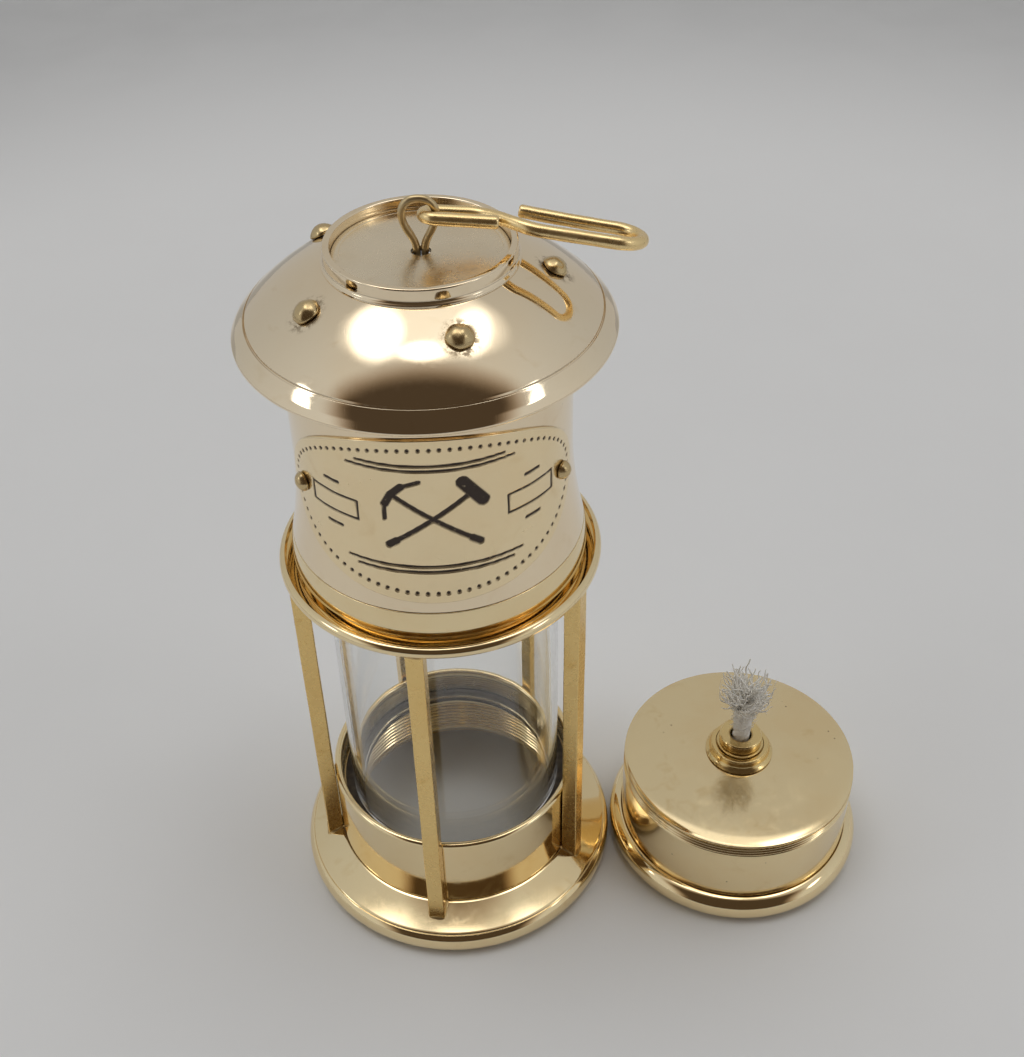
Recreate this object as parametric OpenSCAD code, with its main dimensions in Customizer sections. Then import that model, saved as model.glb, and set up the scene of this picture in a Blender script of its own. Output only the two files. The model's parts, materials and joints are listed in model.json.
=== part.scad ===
// Miner's safety lamp, with its oil font and wick burner standing beside it.
// Millimetres, +Z up. The lamp's axis is the Z axis, its foot stands on z = 0,
// and the font stands on the same surface along +X.

/* [Base] */
// Radius of the base over its rounded bead
base_r = 37.5; // [37.4:0.1:37.8]
// Height of the bead round the foot
base_bead = 7; // [6.8:0.1:7.2]
// Height of the base where it meets the collar
base_top = 9.7; // [9.4:0.1:10]
// Radius of the recess under the base
base_recess_r = 33.4; // [33:0.1:33.5]
// Outer radius of the collar that holds the glass
collar_r = 28.8; // [28.7:0.05:28.85]
// Height of the collar's rounded rim
collar_top = 30.1; // [29.5:0.1:31]
// Wall radius of the threaded socket that takes the font
socket_r = 27.75; // [27.7:0.01:27.8]
// Height of the socket's mouth
socket_bottom = 6.6; // [6.4:0.1:6.8]
// Height of the shoulder at the socket's inner end
socket_top = 21; // [20.5:0.1:21.2]

/* [Glass and cage] */
// Outer radius of the glass
glass_r = 24.7; // [24.5:0.1:24.8]
// Wall of the glass
glass_wall = 2; // [1.8:0.1:2.2]
// Side of the square pillars
pillar_w = 3.6; // [3.4:0.1:3.6]
// Radius of the circle the pillars stand on
pillar_circle = 30.75; // [30.7:0.01:30.8]
// Azimuth of the front pillar
pillar_azimuth = -97.9; // [-105:0.1:-90]
// Height of the widest line of the gallery ring
gallery_z = 95.6; // [95.4:0.1:95.8]
// Outer radius of the gallery ring
gallery_r = 33.6; // [33.4:0.1:34]

/* [Bonnet] */
// Radius of the bonnet's straight upper wall
tube_r = 27.4; // [27.2:0.1:27.6]
// Radius of the curve that flares the wall out to its foot
tube_flare = 95; // [93:1:99]
// Sheet thickness of the wall
tube_wall = 1; // [0.9:0.05:1.1]
// Radius of the hood at its rim
hood_r = 35.4; // [35:0.1:36]
// Radius of the hood's curved section
hood_curve = 44.3; // [44:0.1:44.6]
// Slope of the hood where it meets the crown
hood_slope = 21.8; // [21.5:0.1:22]
// Sheet thickness of the hood
hood_wall = 1; // [0.9:0.05:1.1]
// Radius of the crown's foot
crown_foot_r = 18; // [17.8:0.1:18.2]
// Height of the crown's foot
crown_foot_z = 162.8; // [162.5:0.1:163]
// Height of the crown's rim
crown_top = 166.15; // [166:0.05:166.3]
// Number of fume vents under the hood
vents = 7; // [6:1:8]

/* [Name plate] */
// Half width of the oval plate, measured round the wall
plate_a = 33.5; // [33:0.1:34]
// Half height of the oval plate
plate_b = 18.4; // [18:0.1:18.6]
// Height of the plate's middle
plate_z = 124.3; // [124:0.1:124.6]
// Azimuth the plate faces
plate_azimuth = -88; // [-95:1:-85]

/* [Hook] */
// Height of the middle of the eyelet's ring
eye_z = 171; // [170.8:0.1:171.5]
// Radius of the eyelet's ring, to the middle of its wire
eye_r = 3; // [3:0.05:3.1]
// Diameter of the eyelet's wire
eye_wire = 1.4; // [1.3:0.05:1.4]
// Diameter of the hook's wire
hook_wire = 2.4; // [2.2:0.1:2.4]
// Length of the hook over all
hook_length = 40.5; // [39:0.5:42]
// Tilt of the hook about its own length as it lies
hook_tilt = 12; // [11:1:14]

/* [Font and burner] */
// Distance of the font from the lamp's axis as it stands beside it
font_x = 68.5; // [68.4:0.1:75]
// Radius of the font's body
font_r = 27.5; // [27.4:0.01:27.5]
// Radius of the flange bead round the font's foot
font_bead_r = 30.5; // [30.4:0.05:30.6]
// Height of the font's top edge
font_top_z = 25.7; // [25.5:0.1:25.9]
// Diameter of the wick where it passes through its holder
wick_d = 4.4; // [4.2:0.1:4.5]
// Height of the wick's frayed end
wick_top = 56; // [54:0.5:58]

/* [Hidden] */
$fn = 96;
gap = 0.05;                 // between pieces of one body that lie against each other
pillars = 5;
base_ceiling = 4.8;         // underside of the base's web
collar_bore = 27.1;
seat_bore = 23.9;
seat_z = socket_top + 2.3;
gasket = 0.75;
glass_z0 = seat_z + gasket + 2 * gap;
gallery_floor = gallery_z - 2.2;
glass_z1 = gallery_floor - gasket - 2 * gap;
pillar_z0 = 7;
pillar_z1 = gallery_z - 1.4;
screw_r = 1;
screw_head_r = 1.65;
screw_head_z = base_ceiling + 0.15;
screw_head_h = 1.15;
neck_r = 28.5;
neck_bore = 27.3;
neck_z0 = gallery_z - 0.4;
neck_top = 103;
skirt_bore = 28.8;
skirt_z0 = 97.2;
tube_z0 = 103.45;
flare_z = 125;
gauze_z0 = gallery_z + 0.3 + gap;
gauze_z1 = 145.3;
gauze_r0 = 19.6;
gauze_r1 = 17.6;
gauze_wall = 0.5;
hood_c = [crown_foot_r - hood_curve * sin(hood_slope), crown_foot_z - hood_curve * cos(hood_slope)];
hood_inner_r = 16.7;
rivet_circle = 23.75;
rivet_azimuth = -72.5;
rivet_tilt = asin((rivet_circle - hood_c[0]) / hood_curve);
vent_d = 6;
vent_z = 146.5;
vent_azimuth = -112;
plate_t = 0.5;
plate_rivet_angle = 60;
disc_z = 163.2;
disc_t = 1;
eye_hole_r = 1.8;
hook_gap = 0.25;
hook_bend = 2.4;            // bend radius of the small closed loop
hook_bow = 4.7;             // bend radius of the large open loop
hook_lay = 4;             // the small loop's slope as the hook lies on the crown
hook_sag = 11;            // the large loop's slope as it lies
holder_r = 3.4;
holder_bore = wick_d / 2 + 0.25;
boss_top = 30.4;
washer_t = 0.5;
nut_z = boss_top + washer_t + 2 * gap;
nut_top = 33.5;

// ---- outlines -------------------------------------------------------------

// points of an arc about c, from angle a0 to a1
function arc(c, r, a0, a1, n) =
    [for (i = [0:n]) let (a = a0 + (a1 - a0) * i / n) c + r * [cos(a), sin(a)]];

// points of a quadratic curve from p to q, pulled towards m
function bow(p, m, q, n) =
    [for (i = [0:n]) let (t = i / n) (1 - t) * (1 - t) * p + 2 * t * (1 - t) * m + t * t * q];

// height of the hood's outer face, less an inset measured square to it
function hood_face(r, inset = 0) =
    hood_c[1] + sqrt(pow(hood_curve - inset, 2) - pow(r - hood_c[0], 2));
function hood_line(r0, r1, inset, n) =
    [for (i = [0:n]) let (r = r0 + (r1 - r0) * i / n) [r, hood_face(r, inset)]];

// outer radius of the bonnet's wall at height z
function wall_r(z) = tube_r + (z < flare_z ? pow(flare_z - z, 2) / (2 * tube_flare) : 0);
function wall_line(z0, z1, inset, n) =
    [for (i = [0:n]) let (z = z0 + (z1 - z0) * i / n) [wall_r(z) - inset, z]];

module turned(outline) {
    rotate_extrude() polygon(outline);
}

module washer(r0, r1, z0, z1) {
    turned([[r0, z0], [r1, z0], [r1, z1], [r0, z1]]);
}

module around(count, start) {
    for (i = [0:count - 1]) rotate([0, 0, start + 360 / count * i]) children();
}

// places a child at the font, where it stands beside the lamp
module at_font() {
    translate([font_x, 0, 0]) children();
}

// ---- round wire along a list of points ------------------------------------

function unit(v) = v / norm(v);
function along(p, i) = unit(p[min(i + 1, len(p) - 1)] - p[max(i - 1, 0)]);
function square_to(v, t) = unit(v - (v * t) * t);
function normals(p, n, i = 0, out = []) =
    i == len(p) ? out
    : let (m = square_to(n, along(p, i))) normals(p, m, i + 1, concat(out, [m]));

module wire(path, d, start, sides = 12) {
    ns = normals(path, start);
    last = len(path) - 1;
    points = [for (i = [0:last], k = [0:sides - 1])
        let (a = 360 * k / sides, b = cross(along(path, i), ns[i]))
        path[i] + d / 2 * (cos(a) * ns[i] + sin(a) * b)];
    skin = [for (i = [0:last - 1], k = [0:sides - 1]) let (k2 = (k + 1) % sides)
        [i * sides + k, (i + 1) * sides + k, (i + 1) * sides + k2, i * sides + k2]];
    ends = [[for (k = [0:sides - 1]) k], [for (k = [sides - 1:-1:0]) last * sides + k]];
    polyhedron(points, concat(skin, ends), convexity = 8);
}

// ---- base and cage --------------------------------------------------------

module pillar_bar(clearance = 0) {
    w = pillar_w + 2 * clearance;
    translate([pillar_circle - w / 2, -w / 2, pillar_z0]) cube([w, w, pillar_z1 - pillar_z0]);
}

module base_flange() {
    bead = base_bead / 2;
    outline = concat(
        [[base_recess_r, 0]],
        arc([base_r - bead, bead], bead, -90, 52, 12),
        bow([base_r - 1.5, base_bead - 0.55], [32.4, 7.9], [collar_r + gap, base_top], 6),
        [[collar_r + gap, base_ceiling], [base_recess_r, base_ceiling]]);
    color("#d9b36c") difference() {
        turned(outline);
        around(pillars, pillar_azimuth) {
            pillar_bar(gap);
            translate([pillar_circle, 0, 0]) cylinder(r = screw_r + gap, h = pillar_z0 + 1);
            translate([pillar_circle, 0, base_ceiling - 1])
                cylinder(r = screw_head_r + gap, h = screw_head_z + screw_head_h + gap - base_ceiling + 1);
        }
    }
}

module base_collar() {
    lip = (collar_r - collar_bore) / 2;
    outline = concat(
        [[socket_r, socket_bottom], [collar_r, socket_bottom]],
        arc([collar_r - lip, collar_top - lip], lip, 0, 180, 10),
        [[collar_bore, seat_z], [seat_bore, seat_z], [seat_bore, socket_top], [socket_r, socket_top]]);
    color("#dcb873") turned(outline);
}

module lower_gasket() {
    color("#4a4038") washer(glass_r - glass_wall - 0.2, collar_bore - 0.5, seat_z + gap, seat_z + gap + gasket);
}

module glass_chimney() {
    color("#dfe6e6", 0.35) washer(glass_r - glass_wall, glass_r, glass_z0, glass_z1);
}

module upper_gasket() {
    color("#4a4038") washer(glass_r - glass_wall + 0.2, glass_r + 0.2, glass_z1 + gap, glass_z1 + gap + gasket);
}

module pillar(i) {
    color("#c79a3e") rotate([0, 0, pillar_azimuth + 360 / pillars * (i - 1)]) difference() {
        pillar_bar();
        translate([pillar_circle, 0, 0]) cylinder(r = screw_r + gap, h = 13);
    }
}

module base_screws() {
    color("#b58d43") around(pillars, pillar_azimuth) translate([pillar_circle, 0, 0]) {
        difference() {
            translate([0, 0, screw_head_z]) cylinder(r = screw_head_r, h = screw_head_h);
            translate([-2, -0.25, screw_head_z - 1]) cube([4, 0.5, 1.6]);
        }
        translate([0, 0, screw_head_z + screw_head_h - 0.1]) cylinder(r = screw_r, h = 5.7);
    }
}

module gallery_ring() {
    bead = 1.3;
    mid = [gallery_r - bead, gallery_z];
    lip_r = 25.1;
    outline = concat(
        [[glass_r - 1.3, gallery_floor], [lip_r, gallery_floor], [lip_r, gallery_floor - 2.2],
         [lip_r + 1.1, gallery_floor - 2.2], [lip_r + 1.1, gallery_z - bead]],
        arc(mid, bead, -90, 85, 16),
        [mid + [-0.2, 0.3], [neck_r, neck_z0], [neck_r, neck_top], [neck_bore, neck_top],
         [neck_bore, gallery_z + 0.3], [glass_r - 1.3, gallery_z + 0.3]]);
    color("#d3a755") turned(outline);
}

// ---- wire gauze inside the bonnet -----------------------------------------

module gauze_ring() {
    color("#b58d43") washer(gauze_r0 - 0.6, neck_bore - 0.3, gauze_z0, gauze_z0 + 1.2);
}

module gauze() {
    z = gauze_z0 + 1.2 + gap;
    color("#9a9488") turned([[gauze_r0 - gauze_wall, z], [gauze_r0, z],
                             [gauze_r1, gauze_z1], [gauze_r1 - gauze_wall, gauze_z1]]);
}

module gauze_cap() {
    r = gauze_r1 + 0.8;
    color("#b58d43") turned([[0, gauze_z1 + gap], [r - 0.45, gauze_z1 + gap], [r - 0.45, gauze_z1 - 4.5],
                             [r, gauze_z1 - 4.5], [r, gauze_z1 + 0.6], [0, gauze_z1 + 0.6]]);
}

// ---- bonnet ---------------------------------------------------------------

// runs a child square to the hood's face at every rivet
module on_hood() {
    around(5, rivet_azimuth)
        translate([rivet_circle, 0, hood_face(rivet_circle)]) rotate([0, rivet_tilt, 0]) children();
}

module rivet_holes() {
    on_hood() translate([0, 0, -4]) cylinder(r = 1.25, h = 8);
}

// runs a child along +Z out of the wall at both plate rivets
module on_plate() {
    for (side = [-1, 1]) rotate([0, 0, plate_azimuth + side * plate_rivet_angle])
        translate([wall_r(plate_z), 0, plate_z]) rotate([0, 90, 0]) children();
}

module bonnet_tube() {
    flange_r = 20.5;
    lap = hood_wall + gap;
    outline = concat(
        wall_line(tube_z0, flare_z, 0, 7),
        hood_line(tube_r, flange_r, lap, 4),
        hood_line(flange_r, tube_r - tube_wall, lap + 0.9, 4),
        wall_line(flare_z, tube_z0, tube_wall, 7));
    color("#dcb873") difference() {
        turned(outline);
        around(vents, vent_azimuth) translate([20, 0, vent_z]) rotate([0, 90, 0])
            cylinder(d = vent_d, h = 12);
        rivet_holes();
        on_plate() translate([0, 0, -3]) cylinder(r = 0.75, h = 6);
    }
}

module skirt_ring() {
    outline = concat(
        [[skirt_bore, skirt_z0], [30.2, skirt_z0]],
        bow([30.45, skirt_z0 + 0.3], [30.55, skirt_z0 + 3], [29.95, tube_z0 - 0.35], 4),
        [[29.7, tube_z0 - gap], [28.75, tube_z0 - gap], [28.75, tube_z0 + 0.45], [27, tube_z0 + 0.45],
         [27, neck_top + gap], [skirt_bore, neck_top + gap]]);
    color("#dcb873") turned(outline);
}

module hood() {
    rim = [hood_r - 0.5, hood_face(hood_r) - 0.6];
    outline = concat(
        hood_line(hood_inner_r, hood_r, 0, 14),
        arc(rim, 0.6, 0, -110, 4),
        hood_line(hood_r - 1.1, hood_inner_r, hood_wall, 14));
    color("#dcb873") difference() {
        turned(outline);
        rivet_holes();
    }
}

module crown_collar() {
    wall = 17.45;
    bore = 16.1;
    outline = concat(
        [[bore - 1.1, disc_z - 0.8], [hood_inner_r - gap, disc_z - 0.8],
         [hood_inner_r - gap, hood_face(hood_inner_r) + gap], [crown_foot_r, crown_foot_z + gap],
         [crown_foot_r, crown_foot_z + 0.35]],
        bow([wall + 0.3, crown_foot_z + 0.6], [wall, crown_foot_z + 0.8], [wall, crown_foot_z + 1.4], 3),
        arc([wall - 0.6, crown_top - 0.6], 0.6, 0, 90, 4),
        [[bore + 0.2, crown_top], [bore, crown_top - 0.2], [bore, disc_z - gap], [bore - 1.1, disc_z - gap]]);
    color("#dcb873") turned(outline);
}

module cap_disc() {
    color("#cfae72") washer(eye_hole_r, 16.05, disc_z, disc_z + disc_t);
}

module hood_rivets() {
    head = 2.5;
    dome = 1.6;
    ball = (head * head + dome * dome) / (2 * dome);
    top = arc([0, 0.45 + dome - ball], ball, asin((ball - dome) / ball), 90, 5);
    tail = -hood_wall - 0.9 - 3 * gap;
    color("#c9a45c") on_hood() turned(concat(
        [[0, tail - 0.7], [1.8, tail - 0.6], [1.8, tail], [1.2, tail], [1.2, gap], [head - 0.3, gap], [head, 0.45]],
        [for (i = [1:5]) [max(0, top[i][0]), top[i][1]]]));
}

module name_plate() {
    r = wall_r(plate_z);
    oval = [for (a = [0:7.5:359]) [r * sin(plate_a * cos(a) / r * 180 / PI), plate_z + plate_b * sin(a)]];
    shell = concat(wall_line(plate_z - plate_b - 0.5, flare_z, -plate_t - gap, 7),
                   [[tube_r + plate_t + gap, plate_z + plate_b + 1], [tube_r + gap, plate_z + plate_b + 1]],
                   wall_line(flare_z, plate_z - plate_b - 0.5, -gap, 7));
    color("#dec07e") difference() {
        intersection() {
            turned(shell);
            rotate([0, 0, plate_azimuth + 90]) rotate([90, 0, 0]) linear_extrude(height = 40) polygon(oval);
        }
        on_plate() translate([0, 0, -3]) cylinder(r = 0.75, h = 6);
    }
}

module plate_rivets() {
    head = 1.9;
    seat = plate_t + 3 * gap;
    top = arc([0, seat], head, 0, 90, 6);
    color("#c9a45c") on_plate() turned(concat(
        [[0, -tube_wall - 0.8], [1.1, -tube_wall - 0.7], [1.1, -tube_wall - 2 * gap],
         [0.7, -tube_wall - 2 * gap], [0.7, seat]],
        [for (p = top) [max(0, p[0]), p[1]]]));
}

// ---- eyelet and hook ------------------------------------------------------

// a closed ring on two legs that pass down through the disc and splay under it
module eyelet() {
    leg_d = eye_wire - 0.1;
    leg_x = leg_d / 2 + gap;
    knee_z = 162;
    color("#a8823c") {
        translate([0, 0, eye_z]) rotate([90, 0, 0])
            rotate_extrude() translate([eye_r, 0]) circle(d = eye_wire);
        for (side = [-1, 1]) {
            translate([side * leg_x, 0, knee_z]) cylinder(d = leg_d, h = eye_z - eye_r + 0.1 - knee_z);
            translate([side * leg_x, 0, knee_z]) sphere(d = leg_d);
            translate([side * leg_x, 0, knee_z]) rotate([0, side * 108, 0]) cylinder(d = leg_d, h = 3.8);
        }
    }
}

// the hook's middle line laid flat: u runs along it, v across it
hook_start = eye_r - eye_wire / 2 - hook_gap - hook_wire / 2;
eye_u = hook_start + hook_bend;
bow_u = hook_length - hook_wire / 2 - hook_bow;
cross_u0 = 8.5;
cross_u1 = 22;
hook_flat = concat(
    [for (i = [0:4]) [14 - (14 - eye_u) * i / 5, -hook_bend - 0.6 * (1 - i / 5)]],
    [for (a = [270:-18:90]) [eye_u + hook_bend * cos(a), hook_bend * sin(a)]],
    [for (i = [0:16]) let (t = i / 16)
        [cross_u0 + (cross_u1 - cross_u0) * t, hook_bend - (hook_bend + hook_bow) * (1 - cos(180 * t)) / 2]],
    [for (i = [1:4]) [cross_u1 + (bow_u - cross_u1) * i / 5, -hook_bow]],
    [for (a = [-90:15:90]) [bow_u + hook_bow * cos(a), hook_bow * sin(a)]],
    [for (i = [1:8]) let (t = i / 8) [bow_u - (bow_u - 17.6) * t, hook_bow + 1.5 * t * t]]);

// how far the hook has sunk at u: it lies at one slope, then bends to a steeper one
function sink(u) = tan(hook_lay) * u + (tan(hook_sag) - tan(hook_lay))
    * (u < 12 ? 0 : u < 18 ? pow(u - 12, 2) / 12 : u - 15);
function lay(p) = [p[0] * cos(hook_lay), p[1] * cos(hook_tilt), eye_z - sink(p[0]) - p[1] * sin(hook_tilt)];

module hook() {
    color("#c79a3e") wire([for (p = hook_flat) lay(p)], hook_wire, [0, 0, 1]);
}

// ---- font and burner ------------------------------------------------------

module font_shell() {
    color("#dcb873") at_font() washer(font_r - 0.9, font_r, 1.9, font_top_z - 0.8);
}

module font_flange() {
    bead = 3.6;
    outline = concat(
        [[font_r + gap, 0], [font_bead_r - bead + 1.2, 0]],
        arc([font_bead_r - bead, bead], bead, -69, 76, 12),
        [[font_r + gap, 2 * bead - 0.1]]);
    color("#d9b36c") at_font() turned(outline);
}

module font_base() {
    color("#c9a45c") at_font() cylinder_between(0.9, 1.85, font_r);
}

module cylinder_between(z0, z1, r) {
    translate([0, 0, z0]) cylinder(r = r, h = z1 - z0);
}

module font_top() {
    bore = 5.1;
    t = 0.8;
    rim = font_top_z - t + gap;
    outline = concat(
        [[font_r - 0.5, rim], [font_r - 0.14, rim + 0.1], [font_r - 0.14, font_top_z - 0.2]],
        bow([font_r - 0.4, font_top_z], [18, font_top_z + 1.75], [bore, font_top_z + 1.9], 8),
        bow([bore, font_top_z + 1.9 - t], [18, font_top_z + 1.75 - t], [font_r - 1.2, rim], 8));
    color("#d6b476") at_font() turned(outline);
}

module wick_boss() {
    foot = font_top_z + 2;
    outline = concat(
        [[holder_r + 0.1, 22], [5.05, 22], [5.05, foot], [7.94, foot], [7.94, foot + 0.4]],
        bow([7.3, foot + 0.9], [7, foot + 1.2], [6.9, foot + 2], 3),
        [[6.4, boss_top], [holder_r + 0.1, boss_top]]);
    color("#d3a755") at_font() turned(outline);
}

module holder_washer() {
    color("#b58d43") at_font() washer(holder_r + 0.1, 5.45, boss_top + gap, boss_top + gap + washer_t);
}

module wick_holder() {
    nut_r = 5;
    color("#c79a3e") at_font() turned([
        [holder_bore, 21.5], [holder_r, 21.5], [holder_r, nut_z], [nut_r - 0.1, nut_z], [nut_r, nut_z + 0.2],
        [nut_r, nut_top - 0.4], [nut_r - 0.4, nut_top], [holder_bore + 0.2, nut_top], [holder_bore, nut_top - 0.2]]);
}

module wick() {
    r = wick_d / 2;
    color("#f1efe8") at_font() turned([
        [0, 4.5], [r, 4.5], [r, 36], [r + 0.7, 39], [r + 0.7, 43.5], [4.4, 48], [5.2, wick_top - 4.5],
        [4.7, wick_top - 1.2], [2.8, wick_top], [0, wick_top]]);
}

base_flange();
base_collar();
lower_gasket();
glass_chimney();
upper_gasket();
pillar(1);  // pillar_1
pillar(2);  // pillar_2
pillar(3);  // pillar_3
pillar(4);  // pillar_4
pillar(5);  // pillar_5
base_screws();
gallery_ring();
gauze_ring();
gauze();
gauze_cap();
bonnet_tube();
skirt_ring();
hood();
crown_collar();
cap_disc();
hood_rivets();
name_plate();
plate_rivets();
eyelet();
hook();
font_shell();
font_flange();
font_base();
font_top();
wick_boss();
holder_washer();
wick_holder();
wick();
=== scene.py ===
"""The looks of the miner's safety lamp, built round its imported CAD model. Metres, +Z up."""
import json
import math
import random

import bmesh
import bpy
from mathutils import Matrix, Vector


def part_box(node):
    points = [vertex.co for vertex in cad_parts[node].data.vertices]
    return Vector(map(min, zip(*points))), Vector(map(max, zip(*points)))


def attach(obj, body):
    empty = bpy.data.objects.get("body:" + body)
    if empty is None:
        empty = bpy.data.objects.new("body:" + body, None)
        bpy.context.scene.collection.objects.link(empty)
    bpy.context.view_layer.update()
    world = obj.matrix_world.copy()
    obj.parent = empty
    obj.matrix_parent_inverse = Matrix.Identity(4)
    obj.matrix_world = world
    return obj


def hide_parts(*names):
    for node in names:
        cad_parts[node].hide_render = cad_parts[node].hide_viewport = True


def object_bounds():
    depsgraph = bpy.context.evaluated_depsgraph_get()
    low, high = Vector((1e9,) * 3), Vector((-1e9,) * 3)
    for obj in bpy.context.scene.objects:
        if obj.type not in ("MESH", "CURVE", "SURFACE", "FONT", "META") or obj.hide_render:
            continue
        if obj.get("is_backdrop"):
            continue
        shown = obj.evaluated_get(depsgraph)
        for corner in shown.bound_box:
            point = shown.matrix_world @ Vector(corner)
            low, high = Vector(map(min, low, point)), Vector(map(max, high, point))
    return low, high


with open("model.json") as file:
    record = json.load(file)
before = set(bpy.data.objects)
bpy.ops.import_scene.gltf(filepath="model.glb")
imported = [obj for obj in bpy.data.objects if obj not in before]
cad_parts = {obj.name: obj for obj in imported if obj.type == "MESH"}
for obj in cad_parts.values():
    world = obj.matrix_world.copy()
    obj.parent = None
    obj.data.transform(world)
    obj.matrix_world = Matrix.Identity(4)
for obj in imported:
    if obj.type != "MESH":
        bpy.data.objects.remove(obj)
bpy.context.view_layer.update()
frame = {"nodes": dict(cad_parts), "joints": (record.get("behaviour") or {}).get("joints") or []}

MM = 0.001
TAU = 2 * math.pi
CAGE, BONNET, FONT = "lamp_cage", "bonnet", "font"


# ---- places, all from the frame ---------------------------------------------------------------

def size(node):
    """A node's box in millimetres: lowest and highest corner."""
    lo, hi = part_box(node)
    return lo / MM, hi / MM


def joint_place(name):
    """The point a hinge turns about, in millimetres."""
    joint = next(j for j in frame["joints"] if j["name"] == name)
    return Vector(joint["pos_m"]) / MM


def reach(node):
    """(outer radius, lowest z, highest z) of a round node, in millimetres."""
    lo, hi = size(node)
    return (hi.x - lo.x) / 2, lo.z, hi.z


AXIS = Vector((0, 0, 0))
FONT_AXIS = Vector((joint_place("holder_turn").x, 0, 0))


# ---- outlines ---------------------------------------------------------------------------------

def arc(cx, cz, radius, start, end, steps):
    """Points of an arc in the (r, z) plane, angles in degrees."""
    return [(cx + radius * math.cos(math.radians(start + (end - start) * i / steps)),
             cz + radius * math.sin(math.radians(start + (end - start) * i / steps)))
            for i in range(steps + 1)]


def bow(p, m, q, steps):
    """Points of a curve from p to q, pulled towards m."""
    return [tuple((1 - t) ** 2 * a + 2 * t * (1 - t) * b + t * t * c for a, b, c in zip(p, m, q))
            for t in (i / steps for i in range(steps + 1))]


def eased(corners, radius=0.2, steps=4):
    """A closed outline whose corners are rounded. A corner is (r, z) or (r, z, its own radius);
    a corner that is nearly straight is left alone, so arcs can be listed among the corners."""
    out = []
    count = len(corners)
    for i, corner in enumerate(corners):
        p = Vector(corner[:2])
        before = Vector(corners[i - 1][:2]) - p
        after = Vector(corners[(i + 1) % count][:2]) - p
        wanted = corner[2] if len(corner) > 2 else radius
        if before.length < 1e-6 or after.length < 1e-6:
            continue
        turn = math.pi - before.angle(after)
        if turn < math.radians(24) or wanted <= 0 or p.x < 1e-6:
            out.append((p.x, p.y))
            continue
        back = min(wanted * math.tan(turn / 2), 0.45 * before.length, 0.45 * after.length)
        a, b = p + before.normalized() * back, p + after.normalized() * back
        out += bow(tuple(a), tuple(p), tuple(b), steps)
    return out


# ---- meshes -----------------------------------------------------------------------------------

def piece(name, bm, material, body, replaced=(), sharp=40):
    """Turns a bmesh in millimetres into a finished piece that rides on a body."""
    bmesh.ops.recalc_face_normals(bm, faces=bm.faces)
    mesh = bpy.data.meshes.new(name)
    bm.to_mesh(mesh)
    bm.free()
    mesh.transform(Matrix.Scale(MM, 4))
    mesh.shade_smooth()
    mesh.set_sharp_from_angle(angle=math.radians(sharp))
    mesh.materials.append(material)
    obj = bpy.data.objects.new(name, mesh)
    bpy.context.scene.collection.objects.link(obj)
    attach(obj, body)
    if replaced:
        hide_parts(*replaced)
    return obj


def weighted(obj):
    """Lets the large faces rule the shading, so that flats stay flat beside small roundings."""
    modifier = obj.modifiers.new("normals", "WEIGHTED_NORMAL")
    modifier.keep_sharp = True
    return obj


def spin(bm, outline, axis=AXIS, segments=224):
    """Adds a ring or a solid of revolution with a closed outline of (r, z) points."""
    rings = []
    for r, z in outline:
        if r < 1e-5:
            rings.append([bm.verts.new((axis.x, axis.y, z))])
        else:
            rings.append([bm.verts.new((axis.x + r * math.cos(TAU * k / segments),
                                        axis.y + r * math.sin(TAU * k / segments), z))
                          for k in range(segments)])
    for lower, upper in zip(rings, rings[1:] + rings[:1]):
        if len(lower) == 1 and len(upper) == 1:
            continue
        for k in range(segments):
            n = (k + 1) % segments
            corners = [lower[k % len(lower)], lower[n % len(lower)],
                       upper[n % len(upper)], upper[k % len(upper)]]
            corners = [v for j, v in enumerate(corners) if v not in corners[:j]]
            if len(corners) > 2:
                bm.faces.new(corners)
    return rings


def turned(name, outline, material, body, node, axis=AXIS, segments=224):
    """A turned or spun piece that stands for the CAD node of the same name."""
    bm = bmesh.new()
    spin(bm, outline, axis, segments)
    return weighted(piece(name, bm, material, body, (node,)))


def tube(bm, path, radius, sides=20, capped=True, start=Vector((0, 1, 0))):
    """Adds a round wire along a list of points. radius is a number or a function of the share t."""
    radius_at = radius if callable(radius) else (lambda t: radius)
    last = len(path) - 1
    normal = start
    rings = []
    for i, p in enumerate(path):
        t = (path[min(i + 1, last)] - path[max(i - 1, 0)]).normalized()
        normal = (normal - normal.dot(t) * t).normalized()
        side = t.cross(normal)
        r = radius_at(i / last)
        turns = [TAU * k / sides for k in range(sides)]
        rings.append([bm.verts.new(p + r * (math.cos(a) * normal + math.sin(a) * side)) for a in turns])
    for a, b in zip(rings, rings[1:]):
        for k in range(sides):
            n = (k + 1) % sides
            bm.faces.new((a[k], a[n], b[n], b[k]))
    if capped:
        bm.faces.new(rings[0][::-1])
        bm.faces.new(rings[-1])
    return rings


def smoothed(points, per=6):
    """A smooth curve through the points."""
    out = []
    last = len(points) - 1
    for i in range(last):
        p0, p1 = points[max(i - 1, 0)], points[i]
        p2, p3 = points[i + 1], points[min(i + 2, last)]
        for k in range(per):
            t = k / per
            out.append(0.5 * ((2 * p1) + (p2 - p0) * t + (2 * p0 - 5 * p1 + 4 * p2 - p3) * t * t
                              + (3 * p1 - p0 - 3 * p2 + p3) * t ** 3))
    return out + [points[-1]]


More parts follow.
